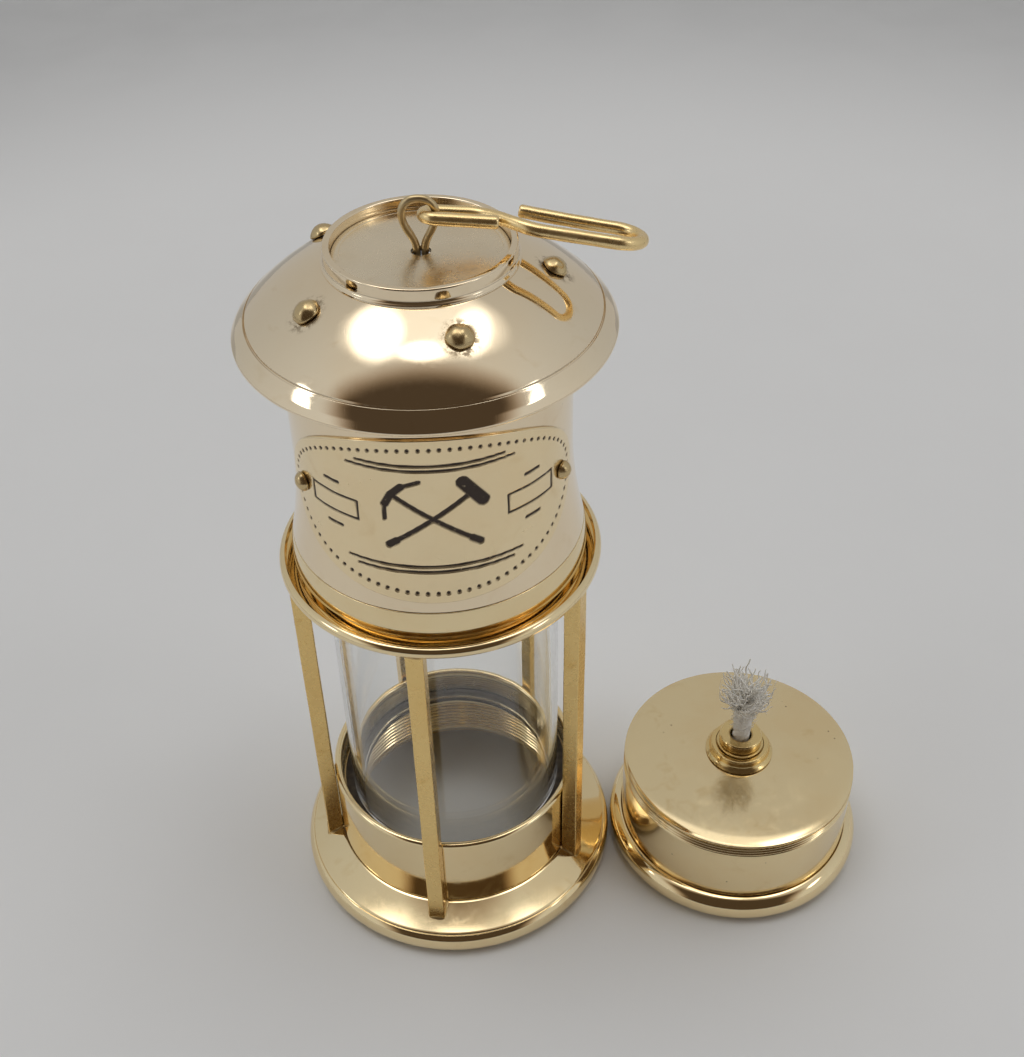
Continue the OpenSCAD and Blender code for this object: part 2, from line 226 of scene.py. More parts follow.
def cut_thread(obj, radius, z0, z1, pitch, depth, axis=AXIS, fade=1.5):
    """Cuts a screw thread into a wall of that radius by moving its dense rows of points.
    A positive depth cuts towards the axis, a negative one away from it."""
    for v in obj.data.vertices:
        p = v.co / MM
        x, y = p.x - axis.x, p.y - axis.y
        r = math.hypot(x, y)
        if abs(r - radius) > 0.02 or not z0 <= p.z <= z1:
            continue
        turn = (p.z / pitch - math.atan2(y, x) / TAU) % 1
        wave = 1 - abs(2 * turn - 1)
        flat = min(1.0, max(0.0, 1.5 * wave - 0.25))
        ends = min(1.0, (p.z - z0) / fade, (z1 - p.z) / fade)
        k = (r - depth * flat * max(0.0, ends)) / r
        v.co.x = (axis.x + x * k) * MM
        v.co.y = (axis.y + y * k) * MM
    obj.data.update()


# ---- node building ----------------------------------------------------------------------------

class Value:
    """A number or colour in a node tree that can be added, multiplied and so on."""

    def __init__(self, tree, socket):
        self.tree, self.socket = tree, socket

    def math(self, kind, other=None, third=None):
        node = self.tree.nodes.new("ShaderNodeMath")
        node.operation = kind
        for slot, v in enumerate((self, other, third)):
            if isinstance(v, Value):
                self.tree.links.new(v.socket, node.inputs[slot])
            elif v is not None:
                node.inputs[slot].default_value = v
        return Value(self.tree, node.outputs[0])

    def __add__(self, other): return self.math("ADD", other)
    def __sub__(self, other): return self.math("SUBTRACT", other)
    def __mul__(self, other): return self.math("MULTIPLY", other)
    def __truediv__(self, other): return self.math("DIVIDE", other)
    def power(self, other): return self.math("POWER", other)
    def most(self, other): return self.math("MAXIMUM", other)

    def between(self, low, high, a=0.0, b=1.0, smooth=True):
        """a below low, b above high, and a smooth change between."""
        node = self.tree.nodes.new("ShaderNodeMapRange")
        node.interpolation_type = "SMOOTHSTEP" if smooth else "LINEAR"
        self.tree.links.new(self.socket, node.inputs[0])
        for slot, v in enumerate((low, high, a, b), 1):
            node.inputs[slot].default_value = v
        return Value(self.tree, node.outputs[0])


def joined(tree, x, y, z):
    node = tree.nodes.new("ShaderNodeCombineXYZ")
    for slot, v in enumerate((x, y, z)):
        if isinstance(v, Value):
            tree.links.new(v.socket, node.inputs[slot])
        else:
            node.inputs[slot].default_value = v
    return node.outputs[0]


def split(tree, vector):
    node = tree.nodes.new("ShaderNodeSeparateXYZ")
    tree.links.new(vector, node.inputs[0])
    return [Value(tree, s) for s in node.outputs]


def noise(tree, vector, scale, detail=2.0, rough=0.5, distort=0.0):
    node = tree.nodes.new("ShaderNodeTexNoise")
    tree.links.new(vector, node.inputs["Vector"])
    node.inputs["Scale"].default_value = scale
    node.inputs["Detail"].default_value = detail
    node.inputs["Roughness"].default_value = rough
    node.inputs["Distortion"].default_value = distort
    return Value(tree, node.outputs[0])


def cells(tree, vector, scale, randomness=1.0):
    node = tree.nodes.new("ShaderNodeTexVoronoi")
    tree.links.new(vector, node.inputs["Vector"])
    node.inputs["Scale"].default_value = scale
    node.inputs["Randomness"].default_value = randomness
    return Value(tree, node.outputs["Distance"])


def mixed(tree, share, a, b):
    """Colour a where share is 0 and b where it is 1."""
    node = tree.nodes.new("ShaderNodeMix")
    node.data_type = "RGBA"
    tree.links.new(share.socket, node.inputs[0])
    for slot, v in ((6, a), (7, b)):
        if isinstance(v, Value):
            tree.links.new(v.socket, node.inputs[slot])
        else:
            node.inputs[slot].default_value = (*v, 1)
    return Value(tree, node.outputs[2])


def bumped(tree, height, distance, strength=1.0, under=None):
    node = tree.nodes.new("ShaderNodeBump")
    node.inputs["Strength"].default_value = strength
    node.inputs["Distance"].default_value = distance
    tree.links.new(height.socket, node.inputs["Height"])
    if under:
        tree.links.new(under, node.inputs["Normal"])
    return node.outputs[0]


def wired(tree, shader, name):
    """The value that already feeds one of a shader's inputs."""
    return Value(tree, shader.inputs[name].links[0].from_socket)


def new_material(name):
    material = bpy.data.materials.new(name)
    material.use_nodes = True
    tree = material.node_tree
    shader = tree.nodes["Principled BSDF"]
    place = tree.nodes.new("ShaderNodeTexCoord").outputs["Object"]
    return material, tree, shader, place


def brass(name, colour, rough=0.12, axis=AXIS, rings=0.0, lines=0.0, dents=0.0, tarnish=0.25,
          smudge=0.10, specks=0.0, grime_and_shade=0.5, aniso=0.0, coat=0.15, grain=(1, 1, 1)):
    """Brass with tarnish, finger marks, polishing scratches, turning marks about an axis (rings),
    marks of drawing along the grain (lines), hammer dents, and dark grime with painted shade in its corners,
    laid where ambient occlusion is high."""
    material, tree, shader, place = new_material(name)
    x, y, z = split(tree, place)
    x, y = x - axis.x * MM, y - axis.y * MM
    radius = (x * x + y * y).power(0.5)

    cloud = noise(tree, place, 55, 4, 0.6)
    patch = noise(tree, place, 170, 3, 0.55, 0.6)
    dark = tuple(c * k for c, k in zip(colour, (0.80, 0.68, 0.48)))
    warm = tuple(c * k for c, k in zip(colour, (0.95, 0.86, 0.74)))
    tone = mixed(tree, cloud.between(0.42, 0.72, 0, tarnish), colour, warm)
    tone = mixed(tree, patch.between(0.58, 0.78, 0, tarnish), tone, dark)
    if specks:
        spot = cells(tree, place, 260).between(0.035 * specks, 0.07 * specks, 1, 0)
        spot = spot * noise(tree, place, 40, 1).between(0.5, 0.6)
        tone = mixed(tree, spot * 0.8, tone, (0.10, 0.06, 0.025))
    if grime_and_shade:
        # painted shade: where ambient occlusion finds a corner or hollow, the brass is patchily darkened to dark
        # brown, partly grime and partly shade
        corner = tree.nodes.new("ShaderNodeAmbientOcclusion")
        corner.samples = 6
        corner.inputs["Distance"].default_value = 0.9 * MM
        painted_shade_share = Value(tree, corner.outputs["AO"]).between(0.25, 0.75, 1, 0)
        tone = mixed(tree, painted_shade_share * patch.between(0.25, 0.6, 0.45 * grime_and_shade, grime_and_shade), tone, (0.12, 0.065, 0.02))
    tree.links.new(tone.socket, shader.inputs["Base Color"])

    finger = noise(tree, place, 120, 5, 0.7, 1.2).between(0.46, 0.74, 0, smudge)
    fine = noise(tree, place, 1500, 2, 0.6).between(0.3, 0.7, -0.02, 0.03, smooth=False)
    tree.links.new((finger + fine + rough).most(0.03).socket, shader.inputs["Roughness"])

    swirl = tree.nodes.new("ShaderNodeMapping")
    swirl.inputs["Rotation"].default_value = (0.5, 0.3, 0.8)
    swirl.inputs["Scale"].default_value = (2600, 160, 260)
    tree.links.new(place, swirl.inputs["Vector"])
    scratch = noise(tree, swirl.outputs[0], 1, 2, 0.5).between(0.60, 0.72)
    height = scratch * -0.25 + noise(tree, place, 700, 3, 0.6) * 0.35
    if rings:
        turning = noise(tree, joined(tree, radius * 5200, z * 5200, 0), 1, 3, 0.7)
        height = height + turning * rings
    if lines:
        drawn = tree.nodes.new("ShaderNodeMapping")
        drawn.inputs["Scale"].default_value = tuple(3800 if g else 45 for g in grain)
        tree.links.new(place, drawn.inputs["Vector"])
        height = height + noise(tree, drawn.outputs[0], 1, 3, 0.6) * lines
    normal = bumped(tree, height, 0.004 * MM)
    sway = noise(tree, place, 90, 2, 0.5)
    normal = bumped(tree, sway, 0.03 * MM, under=normal)
    if dents:
        hollow = noise(tree, place, 420, 2, 0.5)
        normal = bumped(tree, hollow, dents * MM, under=normal)
    tree.links.new(normal, shader.inputs["Normal"])

    shader.inputs["Metallic"].default_value = 1.0
    shader.inputs["Coat Weight"].default_value = coat
    shader.inputs["Coat Roughness"].default_value = 0.06
    if aniso:
        shader.inputs["Anisotropic"].default_value = aniso
        tangent = tree.nodes.new("ShaderNodeTangent")
        tangent.direction_type = "RADIAL"
        tangent.axis = "Z"
        tree.links.new(tangent.outputs[0], shader.inputs["Tangent"])
    return material


PALE = (0.94, 0.77, 0.465)
SHEET = (0.95, 0.80, 0.575)
POLISHED = brass("polished_brass", PALE, 0.06, rings=0.20, tarnish=0.30)
SPUN = brass("spun_brass", SHEET, 0.045, rings=0.08, tarnish=0.22, smudge=0.08, specks=0.6)
THREADED = brass("threaded_brass", (0.86, 0.72, 0.46), 0.22, rings=1.0, tarnish=0.4, grime_and_shade=0.7, coat=0.1)
FONT_SPUN = brass("font_brass", PALE, 0.10, axis=FONT_AXIS, rings=0.15, tarnish=0.38, smudge=0.14, specks=1.0)
FONT_TURNED = brass("burner_brass", (0.84, 0.64, 0.30), 0.16, axis=FONT_AXIS, rings=0.6, tarnish=0.5)
DISC = brass("turned_brass", (0.90, 0.78, 0.58), 0.24, rings=0.7, tarnish=0.3, aniso=0.6, coat=0.1)
FOOT_PLATE = brass("font_foot_brass", (0.80, 0.66, 0.40), 0.30, axis=FONT_AXIS, rings=1.6, tarnish=0.5,
                   coat=0.0)
DRAWN = brass("drawn_brass", (0.88, 0.64, 0.27), 0.25, lines=1.2, tarnish=0.50, grime_and_shade=0.7, coat=0.0,
              grain=(1, 1, 0))
WIRE = brass("wire_brass", (0.93, 0.71, 0.36), 0.26, dents=0.03, tarnish=0.34, smudge=0.12, coat=0.0)
RIVET = brass("rivet_brass", (0.64, 0.49, 0.26), 0.24, dents=0.05, tarnish=0.6, grime_and_shade=0.8, coat=0.15)
OLD = brass("dark_brass", (0.62, 0.44, 0.20), 0.30, dents=0.02, tarnish=0.8, grime_and_shade=0.8, coat=0.05)
TAN = brass("eyelet_brass", (0.68, 0.54, 0.31), 0.34, dents=0.02, tarnish=0.5, grime_and_shade=0.7, coat=0.05)


def engraved_brass():
    """The plate's brass: as the polished sheet, with black wax in the cuts, read from the mesh."""
    material = brass("plate_brass", (0.97, 0.80, 0.51), 0.17, tarnish=0.30, lines=0.5, grain=(0, 0, 1))
    tree = material.node_tree
    shader = tree.nodes["Principled BSDF"]
    wax = tree.nodes.new("ShaderNodeAttribute")
    wax.attribute_name = "wax"
    share = Value(tree, wax.outputs["Fac"])
    place = tree.nodes["Texture Coordinate"].outputs["Object"]
    worn = share * noise(tree, place, 900, 3, 0.7).between(0.24, 0.38)
    tone = mixed(tree, worn, wired(tree, shader, "Base Color"), (0.040, 0.020, 0.009))
    tree.links.new(tone.socket, shader.inputs["Base Color"])
    rough = wired(tree, shader, "Roughness")
    tree.links.new((rough + worn * 0.4).socket, shader.inputs["Roughness"])
    tree.links.new(worn.math("MULTIPLY_ADD", -1, 1).socket, shader.inputs["Metallic"])
    return material


def clear_glass():
    """Clear drawn glass with a faint grey tint; lamps reach through it."""
    material, tree, shader, place = new_material("clear_glass")
    shader.inputs["Base Color"].default_value = (0.99, 0.995, 0.99, 1)
    shader.inputs["Roughness"].default_value = 0.0
    shader.inputs["IOR"].default_value = 1.47
    shader.inputs["Transmission Weight"].default_value = 1.0
    stretch = tree.nodes.new("ShaderNodeMapping")
    stretch.inputs["Scale"].default_value = (90, 90, 14)
    tree.links.new(place, stretch.inputs["Vector"])
    tree.links.new(bumped(tree, noise(tree, stretch.outputs[0], 1, 2), 0.03 * MM), shader.inputs["Normal"])
    path = tree.nodes.new("ShaderNodeLightPath")
    through = tree.nodes.new("ShaderNodeBsdfTransparent")
    through.inputs[0].default_value = (0.96, 0.965, 0.96, 1)
    mix = tree.nodes.new("ShaderNodeMixShader")
    lit = Value(tree, path.outputs["Is Shadow Ray"]).most(Value(tree, path.outputs["Is Diffuse Ray"]))
    tree.links.new(lit.socket, mix.inputs[0])
    tree.links.new(shader.outputs[0], mix.inputs[1])
    tree.links.new(through.outputs[0], mix.inputs[2])
    tree.links.new(mix.outputs[0], tree.nodes["Material Output"].inputs[0])
    return material


def matt(name, colour, second, scale, rough=0.85, bump=0.05):
    """A matt stuff of two mottled tones."""
    material, tree, shader, place = new_material(name)
    tone = mixed(tree, noise(tree, place, scale, 4, 0.65).between(0.35, 0.65), colour, second)
    tree.links.new(tone.socket, shader.inputs["Base Color"])
    grain = noise(tree, place, scale * 4, 3, 0.6)
    spread = grain.between(0.3, 0.7, rough - 0.1, min(1.0, rough + 0.1))
    tree.links.new(spread.socket, shader.inputs["Roughness"])
    tree.links.new(bumped(tree, grain, bump * MM), shader.inputs["Normal"])
    return material


def cotton(name, colour, second):
    material = matt(name, colour, second, 900, 0.92, 0.03)
    shader = material.node_tree.nodes["Principled BSDF"]
    shader.inputs["Specular IOR Level"].default_value = 0.2
    return material


def hood_with_painted_rivet_shade():
    """The hood's sheet brass, with patchy painted shade round the feet of its five rivets."""
    material = brass("hood_brass_painted_shade", SHEET, 0.045, rings=0.08, tarnish=0.24, smudge=0.08, specks=0.8)
    tree = material.node_tree
    shader = tree.nodes["Principled BSDF"]
    place = tree.nodes["Texture Coordinate"].outputs["Object"]
    x, y, z = split(tree, place)
    radius = (x * x + y * y).power(0.5) / MM
    near = (y.math("ARCTAN2", x) + math.radians(72.5)).math("WRAP", math.pi / 5, -math.pi / 5) * RIVET_R
    away = (near * near + (radius - RIVET_R) * (radius - RIVET_R)).power(0.5)
    # painted shade: a dark ring round each rivet's foot, 2.5 to 4 mm from its centre, broken up by noise
    painted_rivet_shade = away.between(2.5, 4.0, 1, 0) * noise(tree, place, 650, 4, 0.7).between(0.42, 0.60)
    tone = mixed(tree, painted_rivet_shade * 0.75, wired(tree, shader, "Base Color"), (0.14, 0.09, 0.04))
    tree.links.new(tone.socket, shader.inputs["Base Color"])
    rough = wired(tree, shader, "Roughness")
    tree.links.new((rough + painted_rivet_shade * 0.3).socket, shader.inputs["Roughness"])
    return material


RIVET_R = 23.75
HOOD = hood_with_painted_rivet_shade()
PLATE = engraved_brass()
GLASS = clear_glass()
GASKET = matt("gasket", (0.045, 0.035, 0.028), (0.10, 0.08, 0.06), 500)
GAUZE = brass("gauze_wire", (0.56, 0.54, 0.50), 0.35, tarnish=0.5, grime_and_shade=0.3, coat=0.0)
COTTON = cotton("cotton", (0.97, 0.96, 0.93), (0.90, 0.87, 0.80))


# ---- base and cage ----------------------------------------------------------------------------

def rows(r, z0, z1, step):
    """Close rows of points up a straight wall, for a thread to be cut into."""
    count = max(1, round(abs(z1 - z0) / step))
    return [(r, z0 + (z1 - z0) * i / count) for i in range(count + 1)]


base_r, foot_z, base_top = reach("base_flange")
collar_r, socket_z0, collar_top = reach("base_collar")
glass_r, glass_z0, glass_z1 = reach("glass_chimney")
gallery_r, gallery_z0, neck_top = reach("gallery_ring")
_, pillar_z0, pillar_z1 = reach("pillar_1")
RECESS_R, SOCKET_R, SEAT_R, BORE_R = base_r - 4.1, collar_r - 1.05, collar_r - 4.9, collar_r - 1.7
SEAT_Z = glass_z0 - 0.85
LEDGE_Z = SEAT_Z - 2.3

turned("base_flange_turned", eased([
    (RECESS_R, foot_z + 0.05, 0.25),
    *arc(base_r - 3.5, 3.5, 3.5, -88, 50, 26),
    (base_r - 1.32, 6.20, 0.06), (base_r - 1.42, 6.12, 0.06), (base_r - 1.50, 6.36, 0.1),
    *bow((base_r - 1.68, 6.50), (32.4, 7.9), (collar_r + 0.30, base_top - 0.12), 18),
    (collar_r + 0.05, base_top - 0.10, 0.1), (collar_r + 0.05, 4.8), (RECESS_R, 4.8, 0.3)]),
    POLISHED, CAGE, "base_flange")

lip = (collar_r - BORE_R) / 2
turned("base_collar_turned", eased([
    (collar_r, socket_z0, 0.15), (collar_r, 11.2, 0), (collar_r, collar_top - 1.9, 0),
    *arc(collar_r - lip, collar_top - lip, lip, 0, 180, 16),
    *rows(BORE_R, collar_top - 1.4, SEAT_Z + 0.5, 0.14), (BORE_R, SEAT_Z, 0.1),
    (SEAT_R, SEAT_Z, 0.2), (SEAT_R, LEDGE_Z, 0.2), (SOCKET_R, LEDGE_Z, 0.1),
    *rows(SOCKET_R, LEDGE_Z - 0.5, socket_z0 + 0.4, 0.14), (SOCKET_R, socket_z0, 0.1)]),
    POLISHED, CAGE, "base_collar")
collar = bpy.data.objects["base_collar_turned"]
cut_thread(collar, SOCKET_R, socket_z0 + 0.4, LEDGE_Z - 0.5, 1.15, -0.42)
cut_thread(collar, BORE_R, SEAT_Z + 0.6, collar_top - 1.5, 0.75, -0.16, fade=0.6)
collar.data.materials.append(THREADED)
for face in collar.data.polygons:
    c = face.center / MM
    if math.hypot(c.x, c.y) < collar_r - 0.9 and c.z < collar_top - 1.2:
        face.material_index = 1

turned("glass_chimney_drawn", eased([
    (glass_r - 2, glass_z0), (glass_r, glass_z0), (glass_r, glass_z1), (glass_r - 2, glass_z1)], 0.35),
    GLASS, CAGE, "glass_chimney", segments=256)

turned("gallery_ring_turned", eased([
    (glass_r - 1.3, gallery_z0 + 2.2, 0.1), (glass_r + 0.4, gallery_z0 + 2.2, 0),
    (glass_r + 0.4, gallery_z0, 0.15), (glass_r + 1.5, gallery_z0, 0.2), (glass_r + 1.5, gallery_z0 + 3.1, 0.15),
    *arc(gallery_r - 1.3, gallery_z0 + 4.4, 1.3, -90, 86, 26),
    (gallery_r - 1.5, gallery_z0 + 4.75, 0.12), (30.2, neck_top - 7.9, 0.6), (28.5, neck_top - 7.7, 0.15),
    *rows(28.5, neck_top - 7.3, neck_top - 0.35, 0.14), (28.5, neck_top, 0.2),
    (27.3, neck_top, 0.2), (27.3, neck_top - 7.1, 0.1), (glass_r - 1.3, neck_top - 7.1, 0.1)]),
    POLISHED, CAGE, "gallery_ring")
cut_thread(bpy.data.objects["gallery_ring_turned"], 28.5, neck_top - 7.3, neck_top - 0.4, 1.0, 0.32)


def pillar(number):
    """A square drawn bar with rubbed edges, with solder round its foot and head."""
    lo, hi = size(f"pillar_{number}")
    middle = (lo + hi) / 2
    across = Vector((middle.x, middle.y, 0))
    w = 3.6
    rng = random.Random(40 + number)
    bm = bmesh.new()
    bmesh.ops.create_cube(bm, size=1)
    bmesh.ops.scale(bm, vec=(w, w, hi.z - lo.z + 0.3), verts=bm.verts)
    bmesh.ops.subdivide_edges(bm, edges=[e for e in bm.edges if abs(e.verts[0].co.z - e.verts[1].co.z) > 1],
                              cuts=30, use_grid_fill=False)
    for v in bm.verts:
        v.co.x += 0.02 * math.sin(v.co.z * 0.21 + number) + rng.uniform(-0.006, 0.006)
        v.co.y += 0.02 * math.sin(v.co.z * 0.17 + 2 * number) + rng.uniform(-0.006, 0.006)
    corners = [e for e in bm.edges if e.calc_face_angle(0) > 0.5]
    bmesh.ops.bevel(bm, geom=corners, offset=0.32, segments=4, profile=0.6, affect="EDGES")
    place = Matrix.Translation(middle) @ Matrix.Rotation(math.atan2(across.y, across.x), 4, "Z")
    bmesh.ops.transform(bm, matrix=place, verts=bm.verts)
    obj = piece(f"pillar_{number}_bar", bm, DRAWN, CAGE, (f"pillar_{number}",), sharp=60)
    weighted(obj)

    foot = bmesh.new()
    for end, slope in ((pillar_z0 + 1.76, 1.0), (pillar_z1 - 0.1, -1.0)):
        # the solder that runs round the bar where it meets the base and the gallery
        ring = []
        for k in range(48):
            a = TAU * k / 48
            c, s = math.cos(a), math.sin(a)
            squared = 1 / (abs(c) ** 5 + abs(s) ** 5) ** 0.2
            for out, up in ((0.50, -0.5), (0.38, 0.0), (0.12, 0.16), (0.0, 0.42)):
                out *= 1 + 0.35 * math.sin(3 * a + number)
                r = (w / 2 + out) * squared
                lean = -0.48 * r * c if slope > 0 else 0
                ring.append(foot.verts.new((r * c, r * s, end - middle.z + slope * up + lean)))
        for k in range(48):
            for j in range(3):
                a, b = 4 * k + j, 4 * ((k + 1) % 48) + j
                foot.faces.new((ring[a], ring[b], ring[b + 1], ring[a + 1]))
    bmesh.ops.transform(foot, matrix=place, verts=foot.verts)
    piece(f"pillar_{number}_solder", foot, OLD, CAGE)


for number in range(1, 6):
    pillar(number)


# ---- wire gauze -------------------------------------------------------------------------------

def woven_gauze():
    """Plain-woven wire cloth rolled into a cone, each wire passing over and under the others."""
    lo, hi = size("gauze")
    bottom_r, top_r = (hi.x - lo.x) / 2 - 0.25, (hi.x - lo.x) / 2 - 2.25
    uprights, hoops = 96, 40
    wire_r = 0.16
    bm = bmesh.new()

    def radius_at(z):
        return bottom_r + (top_r - bottom_r) * (z - lo.z) / (hi.z - lo.z)

    step = (hi.z - lo.z) / hoops
    for k in range(uprights):
        a = TAU * k / uprights
        path = []
        for i in range(2 * hoops + 1):
            z = lo.z + i * step / 2
            r = radius_at(z) + (wire_r * (1 if (i // 2 + k) % 2 else -1) if i % 2 else 0)
            path.append(Vector((r * math.cos(a), r * math.sin(a), z)))
        tube(bm, path, wire_r * 0.95, 4, capped=False)
    for i in range(hoops):
        z = lo.z + (i + 0.5) * step
        path = []
        for k in range(2 * uprights + 1):
            a = TAU * k / (2 * uprights)
            r = radius_at(z) - (wire_r * (1 if (i + k // 2) % 2 else -1) if k % 2 == 0 else 0)
            path.append(Vector((r * math.cos(a), r * math.sin(a), z)))
        tube(bm, path, wire_r * 0.95, 4, capped=False, start=Vector((0, 0, 1)))
    piece("gauze_woven", bm, GAUZE, CAGE, ("gauze",), sharp=180)


woven_gauze()


# ---- bonnet -----------------------------------------------------------------------------------

tube_z0 = reach("bonnet_tube")[1]
skirt_z0, skirt_top = reach("skirt_ring")[1:]
hood_r = reach("hood")[0]
crown_z0, crown_top = reach("crown_collar")[1:]
disc_r, disc_z0, disc_z1 = reach("cap_disc")
TUBE_R, FLARE_Z, FLARE = 27.4, 125.0, 95.0
HOOD_CURVE, HOOD_SLOPE = 44.3, math.radians(21.8)
HOOD_R0 = 18 - HOOD_CURVE * math.sin(HOOD_SLOPE)
HOOD_Z0 = crown_top - 3.35 - HOOD_CURVE * math.cos(HOOD_SLOPE)


def wall_r(z):
    """Outer radius of the bonnet's wall."""
    return TUBE_R + (max(0.0, FLARE_Z - z) ** 2) / (2 * FLARE)


def hood_face(r, inset=0.0):
    """Height of the hood's outer face, less an inset square to it."""
    return HOOD_Z0 + math.sqrt((HOOD_CURVE - inset) ** 2 - (r - HOOD_R0) ** 2)


def wall(z0, z1, inset, count):
    return [(wall_r(z) - inset, z) for z in (z0 + (z1 - z0) * i / count for i in range(count + 1))]


def dome(r0, r1, inset, count):
    return [(r, hood_face(r, inset)) for r in (r0 + (r1 - r0) * i / count for i in range(count + 1))]


def cut(obj, cutter_bm):
    """Takes a closed shape away from a piece, for good."""
    bmesh.ops.recalc_face_normals(cutter_bm, faces=cutter_bm.faces)
    mesh = bpy.data.meshes.new("cutter")
    cutter_bm.to_mesh(mesh)
    cutter_bm.free()
    mesh.transform(Matrix.Scale(MM, 4))
    tool = bpy.data.objects.new("cutter", mesh)
    bpy.context.scene.collection.objects.link(tool)
    obj.modifiers.clear()
    modifier = obj.modifiers.new("cut", "BOOLEAN")
    modifier.operation, modifier.solver, modifier.object = "DIFFERENCE", "EXACT", tool
    bpy.context.view_layer.update()
    graph = bpy.context.evaluated_depsgraph_get()
    made = bpy.data.meshes.new_from_object(obj.evaluated_get(graph), depsgraph=graph)
    obj.modifiers.clear()
    weighted(obj)
    old, obj.data = obj.data, made
    made.name = old.name
    bpy.data.meshes.remove(old)
    bpy.data.objects.remove(tool)
    bpy.data.meshes.remove(mesh)
    made.shade_smooth()
    made.set_sharp_from_angle(angle=math.radians(40))


def spindle(bm, outline, place, segments=48):
    """Adds a solid of revolution whose axis is the Z axis of the matrix place."""
    new = [v for ring in spin(bm, outline, AXIS, segments) for v in ring]
    bmesh.ops.transform(bm, matrix=place, verts=new)


turned("bonnet_tube_spun", eased([
    *wall(tube_z0, FLARE_Z, 0, 26), *wall(FLARE_Z + 1, 150, 0, 24)[1:],
    *dome(TUBE_R, 20.5, 1.08, 8), *dome(20.5, TUBE_R - 1, 1.98, 6),
    *wall(150, tube_z0, 1, 24)]),
    SPUN, BONNET, "bonnet_tube")
vents = bmesh.new()
for k in range(7):
    a = math.radians(-112 + 360 / 7 * k)
    # a drill with a shoulder that breaks the hole's outer edge
    out = [(0, -8), (3, -8), (3, -0.32), (3.04, -0.20), (3.14, -0.08), (3.32, 0.03), (3.6, 0.25),
           (3.9, 0.8), (0, 0.8)]
    spindle(vents, out, Matrix.Translation((TUBE_R * math.cos(a), TUBE_R * math.sin(a), 146.5))
            @ Matrix.Rotation(a, 4, "Z") @ Matrix.Rotation(math.pi / 2, 4, "Y"))
cut(bpy.data.objects["bonnet_tube_spun"], vents)

turned("skirt_ring_turned", eased([
    (28.8, skirt_z0, 0.15), (30.2, skirt_z0, 0.22), (30.46, skirt_z0 + 0.35, 0.15),
    *bow((30.47, skirt_z0 + 0.6), (30.52, skirt_z0 + 3), (29.98, skirt_top - 0.98), 10),
    (29.9, skirt_top - 0.58, 0.12), (29.68, skirt_top - 0.52, 0.08),
    (28.75, skirt_top - 0.52, 0), (28.75, skirt_top, 0.05), (27, skirt_top, 0.05), (27, neck_top + 0.05, 0),
    (28.8, neck_top + 0.05, 0.1)]),
    POLISHED, BONNET, "skirt_ring")

rim_r = hood_r - 0.5
turned("hood_spun", eased([
    *dome(16.7, 32.68, 0, 52), (32.76, hood_face(32.76, 0.20), 0.04), (32.98, hood_face(32.98, 0.22), 0.05),
    (33.08, hood_face(33.08, -0.02), 0.05),
    *dome(33.2, 34.9, 0, 7),
    *[(rim_r + 0.6 * math.cos(t), hood_face(hood_r) - 0.6 + 0.6 * math.sin(t))
      for t in (math.radians(38 - 148 * i / 10) for i in range(11))],
    *dome(hood_r - 1.2, 16.7, 1.0, 40)], 0.1),
    HOOD, BONNET, "hood")

turned("crown_collar_turned", eased([
    (disc_r - 1.05, crown_z0, 0), (16.65, crown_z0, 0), (16.65, hood_face(16.7) + 0.02, 0),
    (18.0, hood_face(18.0) + 0.04, 0.05), (17.95, hood_face(18.0) + 0.40, 0.12),
    *bow((17.72, hood_face(18.0) + 0.62), (17.47, hood_face(18.0) + 0.75), (17.45, hood_face(18.0) + 1.4), 6),
    (17.45, crown_top - 0.8, 0), (17.45, crown_top, 0.6), (disc_r + 0.05, crown_top, 0.4),
    (disc_r + 0.05, disc_z0 - 0.05, 0), (disc_r - 1.05, disc_z0 - 0.05, 0)], 0.2, 6),
    SPUN, BONNET, "crown_collar")

turned("cap_disc_turned", eased([
    (1.8, disc_z0, 0.1), (disc_r, disc_z0, 0.1), (disc_r, disc_z1 - 0.12, 0.1), (disc_r - 0.35, disc_z1, 0.1),
    (disc_r - 1.2, disc_z1 - 0.02, 0), (disc_r - 1.35, disc_z1 - 0.07, 0.05),
    (disc_r - 1.5, disc_z1 - 0.02, 0.05),
    (4.2, disc_z1, 0), (3.6, disc_z1 - 0.05, 0.3), (2.6, disc_z1 - 0.16, 0.3), (1.8, disc_z1 - 0.22, 0.15)]),
    DISC, BONNET, "cap_disc")


